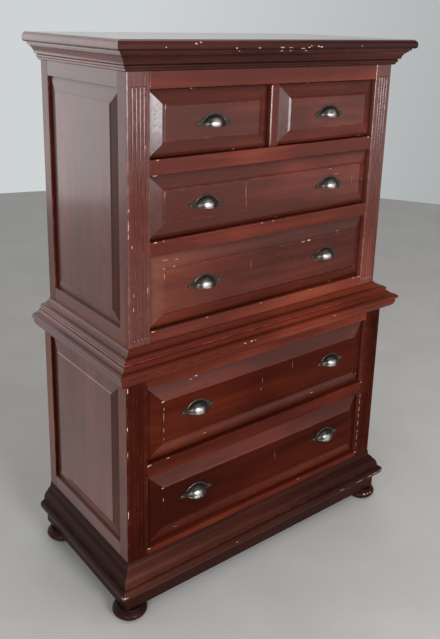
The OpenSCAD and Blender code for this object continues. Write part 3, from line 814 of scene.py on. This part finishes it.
def feet():
    """Turned bun feet."""
    bun = [math.radians(a) for a in range(-58, 62, 12)]
    profile = [(0.5, 0), (31, 0), (37, 0.8)]
    profile += [(25.8 + 20 * math.cos(a), 13.4 + 12.4 * math.sin(a)) for a in bun]
    profile += [(34, 25.2), (32.5, 27.9), (0.5, 27.9)]
    n = 40
    turns = [2 * math.pi * k / n for k in range(n)]
    b = Build()
    for lo, hi in split_solids("bun_feet"):
        cx, cy = (lo.x + hi.x) / 2, (lo.y + hi.y) / 2
        rings = [[(cx + r * math.cos(a) * mm, cy + r * math.sin(a) * mm, z * mm) for a in turns]
                 for r, z in profile]
        # painted shade on the top of each foot, under the plinth (recess 1.0 above 24 mm)
        b.loft(rings, [[0.0 if 6 < z < 22 else 0.3] * n for _, z in profile],
               [[1.0 if z > 24 else 0.0] * n for _, z in profile])
    # painted shade: the feet take the darkened stain
    b.done("feet_turned", CASE, LOW_SHADED["Z"], ["bun_feet"], smooth=40)


feet()


# -------- cup pulls

CUP_R = 34.0  # half the width of the cup in mm, and its height and the depth of its lip
CUP_H = 22.0
LIP = 5.0


def cup_into(b, px, y, z):
    """Bin pull: a thin domed shell with a flared lip, a flange round it and a pointed ear each side."""
    dome = (CUP_R ** 2 + CUP_H ** 2) / (2 * CUP_H)

    def at(x, out, up):
        return (px + x * mm, y - out * mm, z + up * mm)

    def outline(t):
        """Height of the cup's outline at t from its middle."""
        return math.sqrt(max(dome * dome - t * t, 0)) - (dome - CUP_H)

    def across(count):
        return [-CUP_R * math.cos(math.pi * i / count) for i in range(count + 1)]

    rings, ws, rs = [], [], []
    # lip rings (down, flare, share of the painted highlight)
    lip = ((0.5, -0.3, 0.8), (1.2, -0.2, 0.7), (2.1, 0.5, 0.7), (3.0, 1.5, 0.7), (3.8, 2.4, 0.6),
           (4.5, 2.9, 0.4), (LIP, 2.6, 0.2))
    for t in across(26):
        rho = max(outline(t), 0.35)
        k = min(1.0, rho / 20)
        # painted highlight, low on the dome and left of its middle, carried as wear_and_sheen
        painted_sheen = max(0.0, 1 - ((t + 6) / 14) ** 2)
        outer, inner = [], []
        for turn in range(0, 91, 9):
            a = math.radians(turn)
            wear_and_sheen = painted_sheen * min(1.0, max(0.0, (turn - 45) / 35))
            outer.append((rho * math.sin(a), rho * math.cos(a), wear_and_sheen, 0.0))
        for down, flare, wear_and_sheen in lip:
            outer.append((rho + flare * k, -down * min(1, 0.3 + k), wear_and_sheen * painted_sheen, 0.0))
        wall = 1.7 * min(1.0, rho / 4)
        # the inside of the cup carries painted shade and grime (recess 0.8)
        for out, up, _, _ in reversed(outer):
            d = math.hypot(out, max(up, 0)) or 1
            in_out, in_up = (out / d, up / d) if up > 0 else (1, 0)
            inner.append((max(out - wall * in_out, 0.0), up - wall * in_up, 0.0, 0.8))
        ring = outer + inner
        rings.append([at(t, out, up) for out, up, _, _ in ring])
        ws.append([wear_and_sheen for _, _, wear_and_sheen, _ in ring])
        rs.append([rec for _, _, _, rec in ring])
    b.loft(rings, ws, rs)
    # flange that follows the cup's outline on the drawer front
    path = [(-34.5, -4.6), (-34.5, -2.5)] + [(t, max(outline(t), 0.0)) for t in across(28)]
    path += [(34.5, -2.5), (34.5, -4.6)]
    # (offset from the path, out, wear_and_sheen, recess: painted shade and grime)
    band = ((-1.5, 0.0, 0, 0), (-1.5, 1.8, 0, 0.4), (0.6, 1.9, 0, 0.8), (3.2, 1.9, 0, 0),
            (4.2, 1.2, 0.1, 0), (4.4, 0, 0, 0))
    rings = []
    for i, (x, up) in enumerate(path):
        a, e = Vector(path[max(i - 1, 0)]), Vector(path[min(i + 1, len(path) - 1)])
        d = (e - a).normalized()
        rings.append([at(x - d.y * off, out, up + d.x * off) for off, out, _, _ in band])
    b.loft(rings, [[wear_and_sheen for _, _, wear_and_sheen, _ in band]] * len(path),
           [[rec for _, _, _, rec in band]] * len(path))
    leaf = rounded([(31, -5, 1), (41, -5, 2), (47.5, -3.2, 3), (53, 1, 0.8), (46.5, 6, 3),
                    (39.5, 8.6, 4), (31, 14, 1)], support=50, steps=4, closed=True)
    mid_x, mid_up = 41, 1
    for s in (-1, 1):
        rings, ws = [], []
        for k, out, wear_and_sheen in ((1.0, 0.0, 0.0), (1.0, 1.2, 0.0), (0.95, 1.9, 0.15), (0.82, 2.0, 0.0)):
            rings.append([at(s * (mid_x + (x - mid_x) * k), out, mid_up + (up - mid_up) * k)
                          for x, up, _, _ in leaf])
            ws.append([wear_and_sheen] * len(leaf))
        # the ears carry some painted shade and grime (recess 0.45)
        b.loft(rings, ws, [[0.45] * len(leaf)] * len(rings))


for i in range(1, 7):
    body = "drawer_%d" % i
    drawer_front(i)
    node = body + ("_pull" if i < 3 else "_pulls")
    b = Build()
    for lo, hi in split_solids(node):
        cup_into(b, (lo.x + hi.x) / 2, hi.y, lo.z + LIP * mm)
    b.done("cup_pulls_%d" % i, body, METAL, [node], smooth=45)
    dress(body + "_screws", METAL)
    dress(body + "_sides", PLAIN["Y"])
    dress(body + "_back", PLAIN["X"])
    dress(body + "_bottom", PLAIN["X"])

dress("upper_runners", PLAIN["Y"])
dress("lower_runners", PLAIN["Y"])
dress("upper_back", PLAIN["Z"])
dress("lower_back", PLAIN["Z"])


# -------- chips in the finish, and light flakes as a painted highlight

FLAKE_SUNK = 0.2 * mm
FLAKE_PROUD = 0.12 * mm


def flake_marks(name, body, spots):
    """Thin ragged flakes in the colour of bare wood, one for each spot."""
    rng = random.Random(name)
    b = Build()
    n = 13
    for centre, along, across, hl, hw in spots:
        centre, along, across = Vector(centre), Vector(along), Vector(across)
        normal = along.cross(across)
        rim = []
        for i in range(n):
            a = 2 * math.pi * i / n
            k = rng.uniform(0.55, 1.1)
            rim.append(along * (hl * k * math.cos(a)) + across * (hw * k * math.sin(a)))
        under = [centre + p - normal * FLAKE_SUNK for p in rim]
        top = [centre + p * 0.96 + normal * FLAKE_PROUD for p in rim]
        b.loft([under, top], [[0.0] * n] * 2, [[0.0] * n] * 2)
    b.done(name, body, LIGHT_FLAKE)


def spot(centre, normal, along, hl, hw):
    """A flake on a face as (centre, along, across, half length, half width); hl and hw are in mm."""
    return (centre, along, Vector(normal).cross(Vector(along)), hl * mm, hw * mm)


def on_front(y, x, z, hl, hw, upright=False):
    """A flake on a face that looks along -Y."""
    return spot((x * mm, y, z * mm), (0, -1, 0), (0, 0, 1) if upright else (1, 0, 0), hl, hw)


def on_drawer(i, side, along, inset, hl, hw):
    """A flake on the sloping border of a drawer front; along is its x or z, inset is from the edge."""
    lo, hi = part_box("drawer_%d_front" % i)
    points = drawer_section(i)
    a, b = next((p, q) for p, q in zip(points, points[1:]) if p[0] <= inset < q[0])
    slope = math.atan2(b[1] - a[1], b[0] - a[0])
    s, c = math.sin(slope), math.cos(slope)
    y = lo.y - (a[1] + (inset - a[0]) * math.tan(slope)) * mm
    if side in "tb":
        up = 1 if side == "t" else -1
        at = (along * mm, y, (hi.z - inset * mm) if side == "t" else (lo.z + inset * mm))
        normal, run = Vector((0, -c, up * s)), Vector((1, 0, 0))
    else:
        out = -1 if side == "l" else 1
        at = ((lo.x + inset * mm) if side == "l" else (hi.x - inset * mm), y, along * mm)
        normal, run = Vector((out * s, -c, 0)), Vector((0, 0, 1))
    return spot(at, normal, run, hl, hw)


def on_run(section, y_face, z0, x, up, hl, hw):
    """A flake on the front run of a moulding, x along it and up from its datum, in mm."""
    sides = [(a, b) for a, b in zip(section, section[1:] + section[:1])
             if min(a[1], b[1]) <= up < max(a[1], b[1])]
    a, b = max(sides, key=lambda q: q[0][0] + q[1][0])
    out = a[0] + (b[0] - a[0]) * (up - a[1]) / (b[1] - a[1])
    n = Vector((b[1] - a[1], a[0] - b[0])).normalized()
    n = n if n.x > 0 else -n
    sunk = 0.1  # on a nose that touches the CAD's box, the flake stays inside it
    return spot((x * mm, y_face - (out - sunk) * mm, z0 + up * mm), (0, -n.x, n.y), (1, 0, 0), hl, hw)


# flakes on the fronts of the posts and rails: x, z, half length, half width, and True if it stands upright
UPPER_CHIPS = (
    (-428.3, 1040, 15, 1.5, True), (-428.6, 1014, 7, 1.2, True), (-419, 988, 5, 1.6, True),
    (-426.5, 1075, 5, 1.0, True), (-383, 1215, 4, 1.3, True), (-377, 875, 8, 1.3, True),
    (-415, 870, 6, 1.2, True), (-416, 835, 6, 1.1, True), (-350, 1182.6, 5, 1.4), (-355, 988.6, 5, 1.4),
    (-333, 988.7, 3, 1.1), (-28, 988.7, 4, 1.2), (10, 988.7, 3, 1.1), (-362, 765.6, 6, 1.8),
    (-20, 765.7, 3, 1.2), (338, 765.7, 5, 1.3), (362, 765.6, 6, 1.5), (355, 1182.7, 5, 1.4),
    (160, 765.8, 4, 0.9), (-200, 765.8, 4, 0.8),
)
LOWER_CHIPS = (
    (-386, 417.2, 8, 2.8), (-330, 418.7, 5, 1.2), (388, 418.6, 5, 1.5), (-388, 172.6, 6, 1.7),
    (388, 172.7, 5, 1.5), (140, 172.9, 6, 1.1), (-447.6, 300, 14, 1.2, True), (-448, 540, 8, 1.2, True),
    (-446.5, 642, 9, 1.9, True), (-447.8, 470, 9, 1.0, True),
)
POST_WEAR = ((372, 6), (352, 11), (326, 9), (301, 8), (276, 12), (248, 7), (226, 9), (200, 6))
# x, up from the moulding's datum, half length, half width
SLAB_CHIPS = (
    (-281, 15, 4, 2.6), (-268, 18, 3, 2.0), (-168, 5, 3, 1.8), (-100, 5.5, 6, 1.5), (-28, 5.8, 7, 1.6),
    (0, 5.5, 8, 0.8), (40, 3.4, 9, 1.5), (60, 6, 5, 1.6), (68, 9.5, 3, 2.0), (92, 8, 6, 1.6),
    (102, 6.6, 5, 1.3), (250, 8, 5, 1.0), (-360, 8, 3, 1.0),
)
CORNICE_CHIPS = ((-150, -2.6, 3, 0.9), (-20, -2.6, 7, 0.9), (8, -2.6, 4, 0.9), (60, -2.6, 6, 0.9))
WAIST_CHIPS = ((-118, -11.5, 5, 1.6), (-96, -11.5, 6, 2.0), (-84, -11.5, 3, 1.2), (210, -11.5, 4, 1.0))
BASE_CHIPS = (
    (-481.5, -8, 4.4, 3.6), (-477, -10.5, 6, 1.8), (-120, -8, 4, 1.1), (300, -11, 12, 1.0),
    (380, -11.5, 18, 1.1), (428, -11.5, 12, 1.4), (455, -11, 16, 1.6), (476, -10, 8, 1.8), (482, -5, 3, 1.8),
)
spots = [on_front(UP_Y, *chip) for chip in UPPER_CHIPS]
spots += [on_front(LOW_Y, *chip) for chip in LOWER_CHIPS]
# worn inner arris of the right-hand post beside the lowest drawer
spots += [on_front(LOW_Y, 391.0, z, hl, 0.9, True) for z, hl in POST_WEAR]
spots += [on_run(SLAB_LINE, UP_Y, Z_UPTOP, *chip) for chip in SLAB_CHIPS]
spots += [on_run(CORNICE_LINE, UP_Y, Z_UPTOP, *chip) for chip in CORNICE_CHIPS]
spots += [on_run(WAIST_LINE, LOW_Y, Z_UP, *chip) for chip in WAIST_CHIPS]
spots += [on_run(BASE_LINE, LOW_Y, Z_CASE, *chip) for chip in BASE_CHIPS]
# the side of the base's left-hand front corner
corner = (-LOW_W / 2 - 36.1 * mm, LOW_Y - 32.5 * mm, Z_CASE - 8 * mm)
spots.append(spot(corner, (-1, 0, 0), (0, 1, 0), 3.6, 3.4))
# the right-hand foot's shoulder: a row of light flakes, a painted highlight where the bun catches the light
foot = Vector((LOW_W / 2 - 10 * mm, LOW_Y + 10 * mm, 20 * mm))
above = Vector((0, 0, 1))
for turn, hl in ((-28, 5), (-12, 4), (4, 3)):
    face = Vector((math.sin(math.radians(turn)), -math.cos(math.radians(turn)), 0))
    spots.append(spot(foot + face * 42.7 * mm, (face + above).normalized(), face.cross(above), hl, 1.8))
flake_marks("chips_case", CASE, spots)

# flakes on the borders: side, x or z along it, inset from the edge, half length, half width
DRAWER_CHIPS = {
    1: [("t", -250, 1, 4, 0.9), ("b", -120, 1.2, 4, 0.9), ("l", 1300, 38.8, 9, 0.6)],
    2: [("t", 120, 1, 3, 0.8), ("b", 330, 1.2, 4, 0.9)],
    3: [("t", -350, 1.2, 8, 1.6), ("t", 210, 39.4, 6, 0.7), ("l", 1100, 38.2, 12, 0.5),
        ("b", 30, 1.2, 3, 0.9), ("r", 1060, 20, 5, 0.6)],
    4: [("t", 124, 39.4, 9, 1.5), ("t", 146, 38.4, 8, 1.8), ("t", -300, 32, 5, 1.0), ("t", -290, 17, 6, 0.8),
        ("t", -330, 33, 5, 1.2), ("t", -322, 14, 9, 0.6), ("l", 900, 38, 8, 0.8), ("b", 250, 1.2, 4, 0.9),
        ("t", 260, 30, 7, 0.6)],
    5: [("t", -346, 44.2, 6, 2.2), ("l", 561, 45, 4, 0.6), ("l", 538, 44.4, 15, 0.5),
        ("l", 503, 44.8, 9, 0.8), ("l", 478, 44.5, 3, 0.5), ("t", -240, 8, 8, 1.2),
        ("t", -255, 12, 5, 0.8), ("r", 450, 18, 4, 1.6),
        ("b", 180, 22, 9, 1.0), ("b", -210, 24, 6, 0.9)],
    6: [("l", 300, 44.4, 7, 0.6), ("t", -346, 44.2, 4, 1.4), ("b", -300, 22, 6, 0.8), ("t", 200, 6, 5, 0.8)],
}
# scratches on the fields, in the same order as UPPER_CHIPS
SCRATCHES = {
    3: [(-86, 1082, 26, 0.35, True), (-84, 1050, 12, 0.3, True), (236, 1090, 12, 0.35),
        (300, 1068, 16, 0.3, True)],
    4: [(-60, 880, 16, 0.3, True), (180, 850, 10, 0.3)],
    5: [(-20, 545, 9, 0.4, True), (-24, 520, 5, 0.5, True), (90, 560, 12, 0.3, True)],
    6: [(40, 290, 14, 0.3, True)],
}
for i in range(1, 7):
    flakes = [on_drawer(i, *c) for c in DRAWER_CHIPS[i]]
    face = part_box("drawer_%d_front" % i)[0].y
    flakes += [on_front(face, *scratch) for scratch in SCRATCHES.get(i, ())]
    flake_marks("chips_drawer_%d" % i, "drawer_%d" % i, flakes)


# -------- floor, light and camera

FLOOR_R = 4.6
FLOOR_DROP = 0.4 * mm  # keeps the floor from touching the undersides of the feet


def studio():
    """A round, plain, pale floor."""
    g = Graph("floor_pale")
    co = g.node("ShaderNodeTexCoord", out="Object")
    n = g.noise(co, 3.0, 4.0, 0.6)
    g.put(g.bsdf.inputs["Base Color"], g.ramp(n, [(0.3, (0.42, 0.40, 0.38)), (0.7, (0.47, 0.45, 0.43))]))
    g.put(g.bsdf.inputs["Roughness"], g.math("MULTIPLY_ADD", n, 0.1, 0.55))
    bm = bmesh.new()
    bmesh.ops.create_circle(bm, cap_ends=True, segments=128, radius=FLOOR_R)
    me = bpy.data.meshes.new("floor")
    bm.to_mesh(me)
    bm.free()
    me.materials.append(g.mat)
    floor = bpy.data.objects.new("floor", me)
    floor.location.z = -FLOOR_DROP
    bpy.context.scene.collection.objects.link(floor)


def area(name, at, look, size_x, size_y, power, colour, mirrored=True):
    """A soft lamp; mirrored says whether the varnish shows its reflection."""
    data = bpy.data.lights.new(name, "AREA")
    data.shape = "RECTANGLE"
    data.size, data.size_y = size_x, size_y
    data.energy = power
    data.color = colour
    ob = bpy.data.objects.new(name, data)
    ob.location = at
    ob.rotation_mode = "QUATERNION"
    ob.rotation_quaternion = (Vector(look) - Vector(at)).to_track_quat("-Z", "Y")
    bpy.context.scene.collection.objects.link(ob)
    ob.visible_glossy = mirrored


studio()
area("window_front", (-0.45, -3.5, 1.42), (-0.1, -0.2, 1.1), 0.85, 1.5, 105, (0.93, 0.97, 1.0))
area("window_side", (0.80, -3.5, 1.30), (0, -0.2, 1.1), 0.6, 1.2, 14, (0.93, 0.97, 1.0))
area("window_left", (-3.2, -2.5, 1.35), (0, 0, 0.9), 1.5, 1.6, 76, (0.92, 0.96, 1.0))
area("ceiling_soft", (0.4, -1.0, 3.6), (0, 0, 0.6), 3.0, 3.0, 24, (1.0, 0.97, 0.93))
area("lamp_right", (1.5, -1.8, 3.2), (0, -0.2, 1.0), 0.8, 0.8, 10, (1.0, 0.95, 0.9), mirrored=False)

world = bpy.data.worlds.new("studio")
world.use_nodes = True
tree = world.node_tree
tree.nodes.clear()
background = tree.nodes.new("ShaderNodeBackground")
outlook = tree.nodes.new("ShaderNodeTexCoord").outputs["Generated"]


def glow(direction, lo, hi, dark, bright):
    """Colour that rises towards one direction of the surroundings."""
    dot = tree.nodes.new("ShaderNodeVectorMath")
    dot.operation = "DOT_PRODUCT"
    dot.inputs[1].default_value = direction
    rise = tree.nodes.new("ShaderNodeMapRange")
    rise.interpolation_type = "SMOOTHSTEP" if lo > 0 else "LINEAR"
    rise.inputs["From Min"].default_value = lo
    rise.inputs["From Max"].default_value = hi
    ramp = tree.nodes.new("ShaderNodeValToRGB")
    ramp.color_ramp.elements[0].color = (*dark, 1)
    ramp.color_ramp.elements[1].color = (*bright, 1)
    tree.links.new(outlook, dot.inputs[0])
    tree.links.new(dot.outputs["Value"], rise.inputs[0])
    tree.links.new(rise.outputs[0], ramp.inputs[0])
    return ramp.outputs[0]


def plus(a, b):
    n = tree.nodes.new("ShaderNodeVectorMath")
    n.operation = "ADD"
    tree.links.new(a, n.inputs[0])
    tree.links.new(b, n.inputs[1])
    return n.outputs[0]


# paler towards the back left, with two bright fields: the sides reflect one and the fronts the other
room = glow((-0.45, 0.85, 0.25), -0.6, 0.5, (0.10, 0.09, 0.085), (0.62, 0.65, 0.66))
room = plus(room, glow((-0.47, 0.87, -0.12), 0.74, 0.95, (0, 0, 0), (0.75, 0.73, 0.74)))
room = plus(room, glow((0.60, -0.79, -0.10), 0.80, 0.98, (0, 0, 0), (0.95, 0.93, 0.95)))
tree.links.new(room, background.inputs[0])
tree.links.new(background.outputs[0], tree.nodes.new("ShaderNodeOutputWorld").inputs[0])
bpy.context.scene.world = world


def camera(azimuth, pitch, roll, at, lens, shift):
    """Camera that looks along +Y at azimuth 0; angles in degrees, pitch downwards."""
    a, e, r = math.radians(azimuth), math.radians(pitch), math.radians(roll)
    level = Vector((math.cos(a), math.sin(a), 0))
    back = Vector((math.sin(a) * math.cos(e), -math.cos(a) * math.cos(e), math.sin(e)))
    over = back.cross(level)
    right = level * math.cos(r) + over * math.sin(r)
    up = over * math.cos(r) - level * math.sin(r)
    data = bpy.data.cameras.new("camera")
    data.sensor_fit = "AUTO"
    data.sensor_width = 36
    data.lens = lens
    data.shift_x, data.shift_y = shift
    data.clip_end = 60
    ob = bpy.data.objects.new("camera", data)
    m = Matrix((right, up, back)).transposed().to_4x4()
    m.translation = Vector(at)
    ob.matrix_world = m
    bpy.context.scene.collection.objects.link(ob)
    bpy.context.scene.camera = ob


camera(azimuth=-38.51, pitch=16.25, roll=1.60, at=(-1.2840, -1.6097, 1.5053), lens=42.87,
       shift=(-0.0086, -0.1314))
bpy.context.scene.view_settings.view_transform = "Standard"
